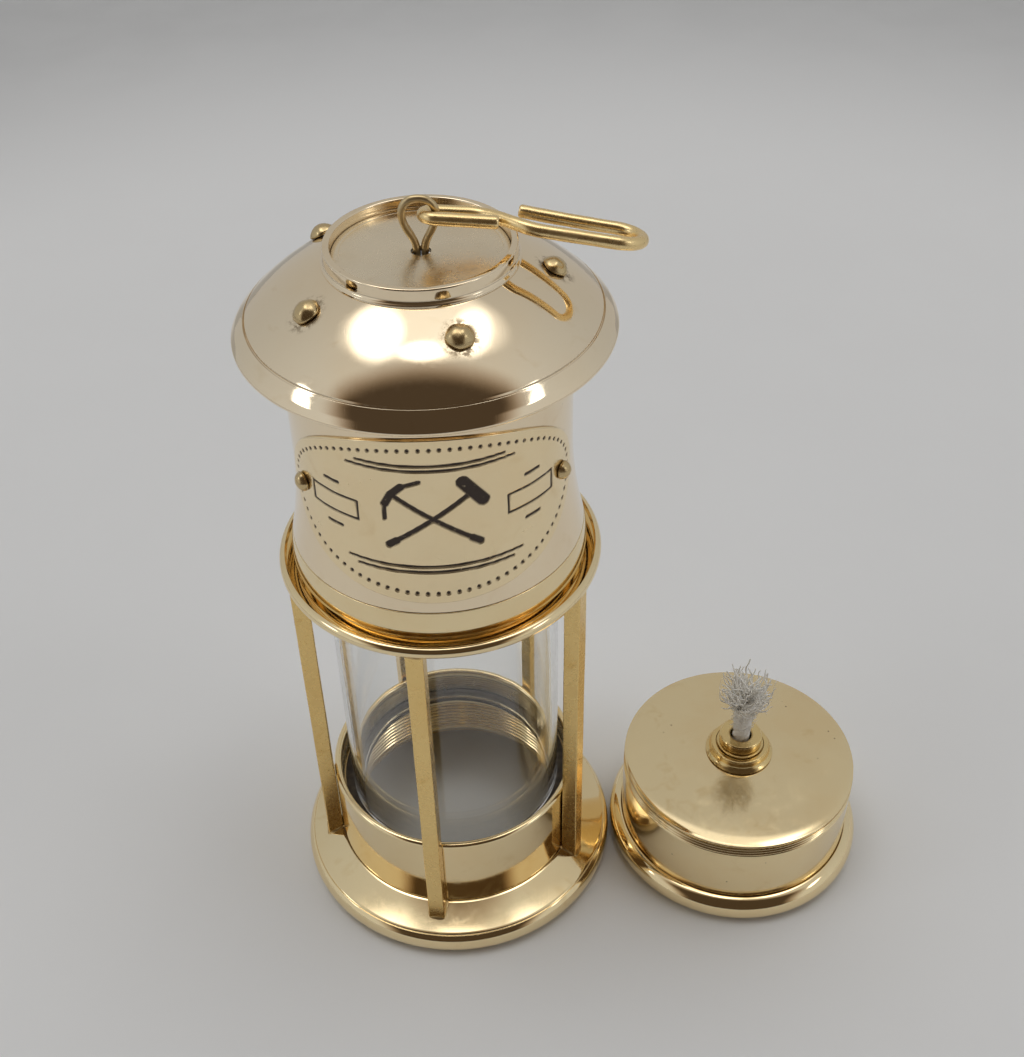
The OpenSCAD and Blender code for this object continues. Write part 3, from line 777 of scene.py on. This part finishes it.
def rivet(bm, place, head, dome_h, stem, seed, bead=0.0):
    """A hammered rivet head on a short stem. bead is not used."""
    rng = random.Random(seed)
    lumps = [(rng.uniform(0, TAU), rng.uniform(0.2, 1.1), rng.uniform(0.3, 0.7)) for _ in range(4)]
    ball = (head * head + dome_h * dome_h) / (2 * dome_h)
    low = math.asin((ball - dome_h) / ball)
    side = [(head - 0.28, 0.02), (head - 0.05, stem * 0.45), (head, stem)]
    top = [(ball * math.cos(low + (math.pi / 2 - low) * i / 12),
            stem + dome_h - ball + ball * math.sin(low + (math.pi / 2 - low) * i / 12)) for i in range(1, 13)]
    outline = [(0, -1.6), (1.1, -1.6), (1.1, 0.0)] + side + top[:-1] + [(0, stem + dome_h)]
    new = [v for ring in spin(bm, outline, AXIS, 40) for v in ring]
    for v in new:
        if v.co.z <= 0.01:
            continue
        a, r = math.atan2(v.co.y, v.co.x), math.hypot(v.co.x, v.co.y) / head
        high = (v.co.z - stem) / dome_h
        shift = 0.0
        for la, lr, ls in lumps:
            near = (r * math.cos(a) - lr * math.cos(la)) ** 2 + (r * math.sin(a) - lr * math.sin(la)) ** 2
            shift -= 0.20 * ls * math.exp(-near / 0.09)
        wobble = 1 + 0.025 * math.sin(2 * a + seed) + 0.02 * math.sin(5 * a + 2 * seed)
        v.co.z += shift * max(0.0, min(1.0, high + 0.3))
        v.co.x *= wobble
        v.co.y *= wobble
    bmesh.ops.transform(bm, matrix=place, verts=new)


rivets = bmesh.new()
tilt = math.asin((RIVET_R - HOOD_R0) / HOOD_CURVE)
for k in range(5):
    a = math.radians(-72.5 + 72 * k)
    rivet(rivets, Matrix.Rotation(a, 4, "Z") @ Matrix.Translation((RIVET_R, 0, hood_face(RIVET_R)))
          @ Matrix.Rotation(tilt, 4, "Y"), 2.5, 1.6, 0.45, 11 + k)
piece("hood_rivets_set", rivets, RIVET, BONNET, ("hood_rivets",), sharp=50)

PLATE_Z, PLATE_A, PLATE_B, PLATE_AZ = 124.3, 33.5, 18.4, math.radians(-88)
knobs = bmesh.new()
for side, seed in ((-1, 31), (1, 32)):
    a = PLATE_AZ + side * math.radians(60)
    rivet(knobs, Matrix.Rotation(a, 4, "Z") @ Matrix.Translation((wall_r(PLATE_Z) + 0.55, 0, PLATE_Z))
          @ Matrix.Rotation(math.pi / 2, 4, "Y"), 1.9, 1.55, 0.35, seed)
piece("plate_rivets_set", knobs, RIVET, BONNET, ("plate_rivets",), sharp=50)


# ---- engraved plate ---------------------------------------------------------------------------

def segment_distance(u, v, p, q):
    """How far (u, v) is from the straight stroke p to q."""
    du, dv = q[0] - p[0], q[1] - p[1]
    t = max(0.0, min(1.0, ((u - p[0]) * du + (v - p[1]) * dv) / (du * du + dv * dv)))
    return math.hypot(u - p[0] - t * du, v - p[1] - t * dv)


def box_strokes(cu, cv, w, h):
    c = [(cu - w, cv - h), (cu + w, cv - h), (cu + w, cv + h), (cu - w, cv + h)]
    return [(c[i], c[(i + 1) % 4], 0.26) for i in range(4)]


def tool_strokes(lean):
    """A hammer (lean 1) or a pick (lean -1) laid slantwise: strokes of (start, end, half width)."""
    along = Vector((lean * 0.80, 0.60))
    across = Vector((-along.y, along.x))
    middle = Vector((0, 0.6))
    head = middle + along * 9.2
    out = [(tuple(middle - along * 10.2), tuple(head), 0.50),
           (tuple(middle - along * 10.4), tuple(middle - along * 8.6), 0.75)]
    if lean > 0:
        out += [(tuple(head - across * 3.0), tuple(head + across * 3.0), 1.30)]
    else:
        tips = [head + across * s * 5.6 - along * 2.3 for s in (-1, 1)]
        knee = [head + across * s * 2.7 - along * 0.45 for s in (-1, 1)]
        for k, t in zip(knee, tips):
            out += [(tuple(head), tuple(k), 0.75), (tuple(k), tuple(t), 0.42)]
    return out


STROKES = (tool_strokes(1) + tool_strokes(-1)
           + box_strokes(-19.6, 0.6, 5.4, 2.1) + box_strokes(19.6, 0.6, 5.4, 2.1)
           + [((-15.5, 11.6), (15.5, 11.6), 0.26), ((-13.5, 12.7), (13.5, 12.7), 0.26)]
           + [((-16.5, -10.2), (16.5, -10.2), 0.26), ((-14.5, -11.4), (14.5, -11.4), 0.26)]
           + [((s * 19.6 - 1.6, 5.6), (s * 19.6 + 1.6, 5.6), 0.34) for s in (-1, 1)]
           + [((s * 19.6 - 1.6, -4.4), (s * 19.6 + 1.6, -4.4), 0.34) for s in (-1, 1)])


def oval_dots(a, b, count):
    """Points at even steps round an oval."""
    fine = [(a * math.cos(TAU * i / 2000), b * math.sin(TAU * i / 2000)) for i in range(2001)]
    run = [0.0]
    for p, q in zip(fine, fine[1:]):
        run.append(run[-1] + math.hypot(q[0] - p[0], q[1] - p[1]))
    out, at = [], 0
    for k in range(count):
        while run[at] < run[-1] * k / count:
            at += 1
        out.append(fine[at])
    return out


DOTS = oval_dots(PLATE_A - 2.2, PLATE_B - 2.2, 84)


def engraving(u, v):
    """Depth of the cut at a place on the plate, 0 to 1."""
    depth = 0.0
    for p, q, half in STROKES:
        if all(min(a, b) - 1.5 < c < max(a, b) + 1.5 for a, b, c in zip(p, q, (u, v))):
            depth = max(depth, min(1.0, max(0.0, (half - segment_distance(u, v, p, q)) / 0.10 + 0.5)))
    edge = math.hypot(u / PLATE_A, v / PLATE_B)
    if 0.82 < edge < 0.98:
        near = min((u - a) ** 2 + (v - b) ** 2 for a, b in DOTS)
        depth = max(depth, min(1.0, max(0.0, (0.38 - math.sqrt(near)) / 0.10 + 0.5)))
    return depth


def name_plate():
    """The oval plate, bent round the wall, with its border and device cut in and filled with black."""
    bm = bmesh.new()
    base_r = wall_r(PLATE_Z)
    columns, lines = 300, 190
    wax = bm.verts.layers.float.new("wax")
    cuts = {}

    def place(u, v, lift):
        a = PLATE_AZ + u / base_r
        r = wall_r(PLATE_Z + v) + lift
        return (r * math.cos(a), r * math.sin(a), PLATE_Z + v)

    grid = []
    for j in range(lines + 1):
        row = []
        for i in range(columns + 1):
            # a square grid pressed into the oval, so that its edge runs along grid lines
            s, t = 2 * i / columns - 1, 2 * j / lines - 1
            x = s * math.sqrt(max(0.0, 1 - t * t / 2))
            y = t * math.sqrt(max(0.0, 1 - s * s / 2))
            u, v = x * PLATE_A, y * PLATE_B
            edge = math.hypot(x, y)
            depth = engraving(u, v) if edge < 0.985 else 0.0
            fall = 0.20 * max(0.0, (edge - 0.988) / 0.012) ** 2
            vert = bm.verts.new(place(u, v, 0.55 - 0.17 * depth - fall))
            cuts[vert] = depth
            row.append((vert, u, v))
        grid.append(row)
    for lower, upper in zip(grid, grid[1:]):
        for i in range(columns):
            bm.faces.new((lower[i][0], lower[i + 1][0], upper[i + 1][0], upper[i][0]))
    rim = ([grid[0][i] for i in range(columns)] + [grid[j][columns] for j in range(lines)]
           + [grid[lines][i] for i in range(columns, 0, -1)] + [grid[j][0] for j in range(lines, 0, -1)])
    back = [bm.verts.new(place(u, v, 0.03)) for _, u, v in rim]
    for k in range(len(rim)):
        n = (k + 1) % len(rim)
        bm.faces.new((rim[k][0], rim[n][0], back[n], back[k]))
    # the hidden back follows the wall, so it is a coarser fan of rows
    rows_back = [[bm.verts.new(place(PLATE_A * x * k, PLATE_B * y * k, 0.03)) for x, y in
                  ((r[1] / PLATE_A, r[2] / PLATE_B) for r in rim[::4])] for k in (0.75, 0.4)]
    outer = back[::4]
    count = len(outer)
    for k in range(count):
        n = (k + 1) % count
        span = [back[(4 * k + s) % len(back)] for s in range(5)]
        bm.faces.new(span[::-1] + [rows_back[0][k], rows_back[0][n]])
        bm.faces.new((rows_back[0][n], rows_back[0][k], rows_back[1][k], rows_back[1][n]))
    hub = bm.verts.new(place(0, 0, 0.03))
    for k in range(count):
        bm.faces.new((rows_back[1][k], rows_back[1][(k + 1) % count], hub))
    for vert, depth in cuts.items():
        vert[wax] = depth
    weighted(piece("name_plate_engraved", bm, PLATE, BONNET, ("name_plate",), sharp=50))


name_plate()


# ---- eyelet and hook --------------------------------------------------------------------------

EYE = joint_place("hook_swing")
EYE_WIRE, HOOK_WIRE = 1.4, 2.4


def eyelet():
    """Half-hard wire bent into a pear-shaped loop, its legs through the disc and splayed under it."""
    half = [(4.3, -10.1), (2.9, -9.6), (1.6, -9.25), (0.85, -8.7), (0.72, -7.9), (0.75, -6.6), (1.0, -5.3),
            (1.65, -3.9), (2.35, -2.55), (2.83, -1.3), (3.0, 0.0), (2.83, 1.2), (2.25, 2.15), (1.25, 2.8)]
    points = [Vector((x, 0, EYE.z + z)) for x, z in half] + [Vector((0, 0, EYE.z + 3.02))]
    points += [Vector((-p.x, 0.03, p.z)) for p in points[-2::-1]]
    bm = bmesh.new()
    path = smoothed(points, 8)
    tube(bm, path, lambda t: EYE_WIRE / 2 * (1 + 0.025 * math.sin(37 * t) + 0.02 * math.sin(71 * t)), 24)
    piece("eyelet_bent", bm, TAN, "eyelet", ("eyelet",), sharp=60)


eyelet()


def hook():
    """The hook's wire along its laid path: a closed loop through the eyelet, a cross-over and an open bow."""
    bend, bow_r, eye_u, bow_u = 2.4, 4.7, 3.25, 34.6
    flat = [(14 - (14 - eye_u) * i / 12, -bend - 0.6 * (1 - i / 12)) for i in range(12)]
    flat += arc(eye_u, 0, bend, 270, 90, 20)
    for i in range(33):
        t = i / 32
        flat.append((8.5 + 13.5 * t, bend - (bend + bow_r) * (1 - math.cos(math.pi * t)) / 2))
    flat += [(22 + (bow_u - 22) * i / 9, -bow_r) for i in range(1, 9)]
    flat += arc(bow_u, 0, bow_r, -90, 85, 25)
    flat += [(bow_u - (bow_u - 17.6) * i / 16, bow_r + 1.5 * (i / 16) ** 2) for i in range(1, 17)]
    lay, sag, tilt = math.tan(math.radians(4)), math.tan(math.radians(11)), math.radians(12)

    def laid(p):
        u, v = p
        bent = 0 if u < 12 else (u - 12) ** 2 / 12 if u < 18 else u - 15
        sink = lay * u + (sag - lay) * bent
        return Vector((u * math.cos(math.atan(lay)), v * math.cos(tilt), EYE.z - sink - v * math.sin(tilt)))

    path = [laid(p) for p in flat]
    ends = [path[0] + (path[1] - path[0]).normalized() * d for d in (0.0, 0.12, 0.35)]
    tail = [path[-1] + (path[-2] - path[-1]).normalized() * d for d in (0.35, 0.12, 0.0)]
    path = ends + path[1:-1] + tail
    run = [0.0]
    for a, b in zip(path, path[1:]):
        run.append(run[-1] + (b - a).length)

    def thick(s):
        """The wire's radius at a length s along it: a little uneven, and rounded at both ends."""
        r = HOOK_WIRE / 2 * (1 + 0.012 * math.sin(s * 0.9) + 0.008 * math.sin(s * 2.3 + 1))
        from_end = min(s, run[-1] - s)
        return r * (0.80 + 0.20 * from_end / 0.35) if from_end < 0.35 else r

    last = len(path) - 1
    bm = bmesh.new()
    tube(bm, path, lambda t: thick(run[round(t * last)]), 32, start=Vector((0, 0, 1)))
    piece("hook_bent", bm, WIRE, "hook", ("hook",), sharp=50)


hook()


# ---- font and burner --------------------------------------------------------------------------

font_r, shell_z0, shell_z1 = reach("font_shell")
flange_r, _, flange_top = reach("font_flange")
font_top = reach("font_top")[2]
boss_r, _, boss_top = reach("wick_boss")
nut_r, holder_z0, nut_top = reach("wick_holder")
washer_r, washer_z0, washer_z1 = reach("holder_washer")
EDGE_Z = font_top - 1.9

turned("font_shell_spun", eased([
    (font_r - 0.9, shell_z0, 0.1), (font_r, shell_z0, 0.1), (font_r, 9, 0), (font_r, 21.2, 0),
    *rows(font_r, 21.6, shell_z1 - 0.1, 0.07), (font_r, shell_z1, 0.08), (font_r - 0.9, shell_z1, 0.1)]),
    FONT_SPUN, FONT, "font_shell", FONT_AXIS)
cut_thread(bpy.data.objects["font_shell_spun"], font_r, 22.2, shell_z1 + 0.3, 0.85, 0.42, FONT_AXIS, fade=0.4)

turned("font_flange_turned", eased([
    (font_r + 0.03, 0.05, 0.1), (flange_r - 2.4, 0.05, 0.1), *arc(flange_r - 3.6, 3.6, 3.6, -68, 74, 30),
    (font_r + 0.22, flange_top - 0.04, 0.05), (font_r + 0.03, flange_top - 0.22, 0.05)]),
    POLISHED, FONT, "font_flange", FONT_AXIS)

turned("font_top_spun", eased([
    (font_r - 0.6, EDGE_Z - 0.78, 0.05), (font_r - 0.16, EDGE_Z - 0.70, 0.06),
    (font_r - 0.12, EDGE_Z - 0.42, 0.06), (font_r - 0.34, EDGE_Z - 0.30, 0.05),
    (font_r - 0.30, EDGE_Z - 0.20, 0.04), (font_r - 0.10, EDGE_Z - 0.16, 0.08),
    (font_r - 0.12, EDGE_Z + 0.02, 0.08),
    *bow((font_r - 0.30, EDGE_Z + 0.06), (font_r - 1.2, EDGE_Z + 0.46), (font_r - 3.2, EDGE_Z + 0.62), 10),
    *bow((font_r - 3.6, EDGE_Z + 0.66), (15, EDGE_Z + 1.45), (5.1, font_top), 30),
    *bow((5.1, font_top - 0.8), (18, EDGE_Z + 0.95), (font_r - 1.2, EDGE_Z - 0.75), 20)], 0.1),
    FONT_SPUN, FONT, "font_top", FONT_AXIS)

turned("wick_boss_turned", eased([
    (3.5, 22.0, 0.1), (5.05, 22.0, 0.1), (5.05, font_top + 0.05, 0), (boss_r, font_top + 0.05, 0.05),
    (boss_r, font_top + 0.42, 0.12),
    *bow((7.45, font_top + 0.75), (7.0, font_top + 1.2), (6.92, font_top + 1.9), 6),
    (6.86, boss_top - 0.50, 0.05), (6.72, boss_top - 0.42, 0.06), (6.72, boss_top - 0.28, 0.06),
    (6.62, boss_top, 0.18), (5.75, boss_top, 0.1), (5.6, boss_top - 0.14, 0.08),
    (3.5, boss_top - 0.14, 0.1)]),
    FONT_TURNED, FONT, "wick_boss", FONT_AXIS, 128)

turned("holder_washer_pressed", eased([
    (3.52, washer_z0, 0.1), (washer_r, washer_z0, 0.15),
    (washer_r, washer_z1, 0.15), (3.52, washer_z1, 0.1)]),
    FONT_TURNED, "holder_washer", "holder_washer", FONT_AXIS, 128)

turned("wick_holder_turned", eased([
    (2.47, holder_z0, 0.1), *rows(3.36, holder_z0, washer_z1 + 0.1, 0.12),
    (nut_r - 0.25, washer_z1 + 0.1, 0.1),
    (nut_r, washer_z1 + 0.4, 0.15), (nut_r, nut_top - 0.30, 0.15),
    (nut_r - 0.30, nut_top, 0.15), (2.95, nut_top, 0.2), (2.55, nut_top - 0.30, 0.2),
    (2.47, nut_top - 0.6, 0.1)]),
    FONT_TURNED, "wick_holder", "wick_holder", FONT_AXIS, 128)
cut_thread(bpy.data.objects["wick_holder_turned"], 3.36, holder_z0, washer_z1 - 0.6, 1.0, 0.30, FONT_AXIS)


# ---- wick -------------------------------------------------------------------------------------

def wick():
    """A twisted cotton rope of four strands that opens into loose threads at its top."""
    lo, hi = size("wick")
    rng = random.Random(7)
    rope_r, strand_r = 2.22, 1.18
    fray_z, top = hi.z - 12.5, hi.z
    bm = bmesh.new()

    def lean(z):
        # the rope leans a little as it leaves its holder
        up = max(0.0, z - nut_top) / (hi.z - nut_top)
        return Vector((0.5 * up * up, -0.2 * up, 0))

    for k in range(4):
        path = []
        for i in range(70):
            z = lo.z + (fray_z + 1.5 - lo.z) * i / 69
            a = TAU * (k / 4 + z / 9.5)
            swell = 0.92 + 0.38 * max(0.0, (z - nut_top - 2) / (fray_z - nut_top - 2))
            r = (rope_r - strand_r) * swell
            path.append(FONT_AXIS + lean(z) + Vector((r * math.cos(a), r * math.sin(a), z)))
        tube(bm, path, lambda t: strand_r * (0.97 + 0.05 * math.sin(60 * t + k)), 14)

    def thread(start, out, length, curl, radius, count=9, droop=0.0):
        p = start.copy()
        heading = out.normalized()
        path = [p.copy()]
        for i in range(count):
            sway = Vector((rng.gauss(0, curl), rng.gauss(0, curl), rng.gauss(0, curl * 0.7) - droop))
            heading = (heading + sway).normalized()
            p = p + heading * (length / count)
            path.append(p.copy())
        tube(bm, smoothed(path, 2), lambda t: radius * (1 - 0.55 * t), 4)

    # short fuzz standing off the rope
    for _ in range(260):
        z = rng.uniform(nut_top + 2.1, fray_z + 1)
        a = rng.uniform(0, TAU)
        r = rope_r * (0.96 + 0.22 * max(0.0, (z - nut_top) / (fray_z - nut_top)))
        side = Vector((math.cos(a), math.sin(a), 0))
        start = FONT_AXIS + lean(z) + side * (r - 0.15) + Vector((0, 0, z))
        swirl = Vector((-math.sin(a), math.cos(a), rng.uniform(0.4, 1.6)))
        thread(start, side * rng.uniform(0.15, 0.7) + swirl * 0.6, rng.uniform(0.6, 1.5), 0.25, 0.09, 5)
    # the loose threads of the frayed end
    for _ in range(150):
        a = rng.uniform(0, TAU)
        share = math.sqrt(rng.random())
        side = Vector((math.cos(a), math.sin(a), 0))
        foot = Vector((0, 0, fray_z - rng.uniform(0, 2.2)))
        start = FONT_AXIS + lean(fray_z) + side * share * rope_r * 1.15 + foot
        spread = share * rng.uniform(0.30, 0.74)
        length, thick = rng.uniform(5.5, 11.6), rng.uniform(0.24, 0.36)
        thread(start, Vector((0, 0, 1)) + side * spread, length, 0.22, thick, 10)
    # wisps that have come loose and hang out to the side
    for _ in range(46):
        a = rng.uniform(-0.7, 1.0) if rng.random() < 0.6 else rng.uniform(0, TAU)
        side = Vector((math.cos(a), math.sin(a), 0))
        start = FONT_AXIS + lean(fray_z) + side * 2.2 + Vector((0, 0, fray_z + rng.uniform(-0.5, 3.0)))
        up = Vector((0, 0, rng.uniform(0.2, 1.6)))
        thread(start, side + up, rng.uniform(3.0, 5.2), 0.28, 0.10, 9, 0.05)
    reach_r = (hi.x - lo.x) / 2 + 0.5
    for v in bm.verts:
        off = Vector((v.co.x - FONT_AXIS.x, v.co.y, 0))
        if off.length > reach_r:
            off *= (reach_r + 0.3 * (off.length - reach_r)) / off.length
            v.co.x, v.co.y = FONT_AXIS.x + off.x, off.y
        if v.co.z > top:
            v.co.z = top + 0.2 * (v.co.z - top)
    piece("wick_cotton", bm, COTTON, "wick", ("wick",), sharp=180)


wick()


# ---- CAD nodes that are kept ------------------------------------------------------------------

for node, material in (("base_screws", RIVET), ("gauze_ring", THREADED), ("gauze_cap", THREADED),
                       ("font_base", FOOT_PLATE), ("lower_gasket", GASKET), ("upper_gasket", GASKET)):
    obj = frame["nodes"][node]
    obj.data.materials.clear()
    obj.data.materials.append(material)


# ---- floor, light and camera ------------------------------------------------------------------

def floor():
    material, tree, shader, place = new_material("floor_paper")
    x, y, z = split(tree, place)
    # painted shade: the paper goes from bright near the lamp to darker further out, a painted fall-off of the
    # light
    far = ((x - 0.03) * (x - 0.03) + y * y).power(0.5)
    near, painted_dim_paper = (0.800, 0.812, 0.825), (0.50, 0.508, 0.518)
    paper_with_painted_falloff = mixed(tree, far.between(0.36, 0.66), near, painted_dim_paper)
    mottle = noise(tree, place, 26, 3, 0.5).between(0.3, 0.7, 0, 0.10)
    tree.links.new(mixed(tree, mottle, paper_with_painted_falloff, (0.73, 0.74, 0.75)).socket, shader.inputs["Base Color"])
    shader.inputs["Roughness"].default_value = 0.75
    tree.links.new(bumped(tree, noise(tree, place, 300, 4, 0.6), 0.03 * MM), shader.inputs["Normal"])
    bm = bmesh.new()
    bmesh.ops.create_circle(bm, cap_ends=True, segments=96, radius=1.0)
    mesh = bpy.data.meshes.new("floor")
    bm.to_mesh(mesh)
    bm.free()
    mesh.materials.append(material)
    obj = bpy.data.objects.new("floor", mesh)
    obj.location.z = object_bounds()[0][2]
    bpy.context.scene.collection.objects.link(obj)
    obj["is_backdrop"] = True


floor()


def surroundings():
    """A white light tent: panes overhead, a darker side where its opening is, pale cloth elsewhere."""
    world = bpy.data.worlds.new("tent")
    bpy.context.scene.world = world
    world.use_nodes = True
    tree = world.node_tree
    tree.nodes.clear()
    x, y, z = split(tree, tree.nodes.new("ShaderNodeTexCoord").outputs["Generated"])

    def patch(cx, cy, ax, ay, soft):
        d = (((x - cx) / ax) * ((x - cx) / ax) + ((y - cy) / ay) * ((y - cy) / ay)).power(0.5)
        return d.between(1 - soft, 1 + soft, 1, 0) * z.between(0, 0.05)

    side = x.math("ABSOLUTE")
    cloth = y.between(-0.6, 0.9, 0.58, 0.42) + patch(-0.02, 0.11, 0.52, 0.32, 0.14) * 0.5
    opening = side.between(0.55, 0.78, 1, 0) * y.between(-0.42, -0.16, 1, 0)
    cloth = cloth * opening.between(0, 1, 1, 0.11, smooth=False)
    lamps = (patch(-0.33, 0.08, 0.16, 0.23, 0.35) * 1.6 + patch(-0.03, -0.13, 0.16, 0.085, 0.35) * 1.5
             + patch(0.30, 0.08, 0.12, 0.20, 0.35) * 1.4
             + patch(-0.84, -0.17, 0.04, 0.12, 0.3) * 2.6 + patch(0.77, -0.27, 0.04, 0.12, 0.3) * 2.6)
    tint = mixed(tree, side.between(0.45, 0.8), (1.0, 0.985, 0.96), (0.97, 0.985, 1.0))
    tint = mixed(tree, opening, tint, (1.0, 0.72, 0.48))
    shade = tree.nodes.new("ShaderNodeBackground")
    tree.links.new(tint.socket, shade.inputs["Color"])
    tree.links.new(((cloth + lamps) * 1.05).socket, shade.inputs["Strength"])
    # what is seen past the floor's edge is a plain pale wall
    plain = tree.nodes.new("ShaderNodeBackground")
    plain.inputs["Color"].default_value = (0.37, 0.372, 0.378, 1)
    seen = tree.nodes.new("ShaderNodeMixShader")
    tree.links.new(tree.nodes.new("ShaderNodeLightPath").outputs["Is Camera Ray"], seen.inputs[0])
    tree.links.new(shade.outputs[0], seen.inputs[1])
    tree.links.new(plain.outputs[0], seen.inputs[2])
    output = tree.nodes.new("ShaderNodeOutputWorld")
    tree.links.new(seen.outputs[0], output.inputs["Surface"])


surroundings()


def camera():
    down, yaw, roll = math.radians(40.276), math.radians(-0.222), math.radians(-1.334)
    ahead = Vector((math.sin(yaw) * math.cos(down), math.cos(yaw) * math.cos(down), -math.sin(down)))
    right = Vector((math.cos(yaw), -math.sin(yaw), 0))
    up = right.cross(ahead)
    across = right * math.cos(roll) + up * math.sin(roll)
    above = up * math.cos(roll) - right * math.sin(roll)
    data = bpy.data.cameras.new("camera")
    data.lens, data.sensor_width, data.sensor_fit = 46.91, 36, "AUTO"
    data.clip_start = 0.01
    obj = bpy.data.objects.new("camera", data)
    turn = Matrix((across, above, -ahead)).transposed().to_4x4()
    obj.matrix_world = Matrix.Translation(Vector((15.861, -218.593, 284.057)) * MM) @ turn
    bpy.context.scene.collection.objects.link(obj)
    bpy.context.scene.camera = obj


camera()
bpy.context.scene.view_settings.view_transform = "Standard"
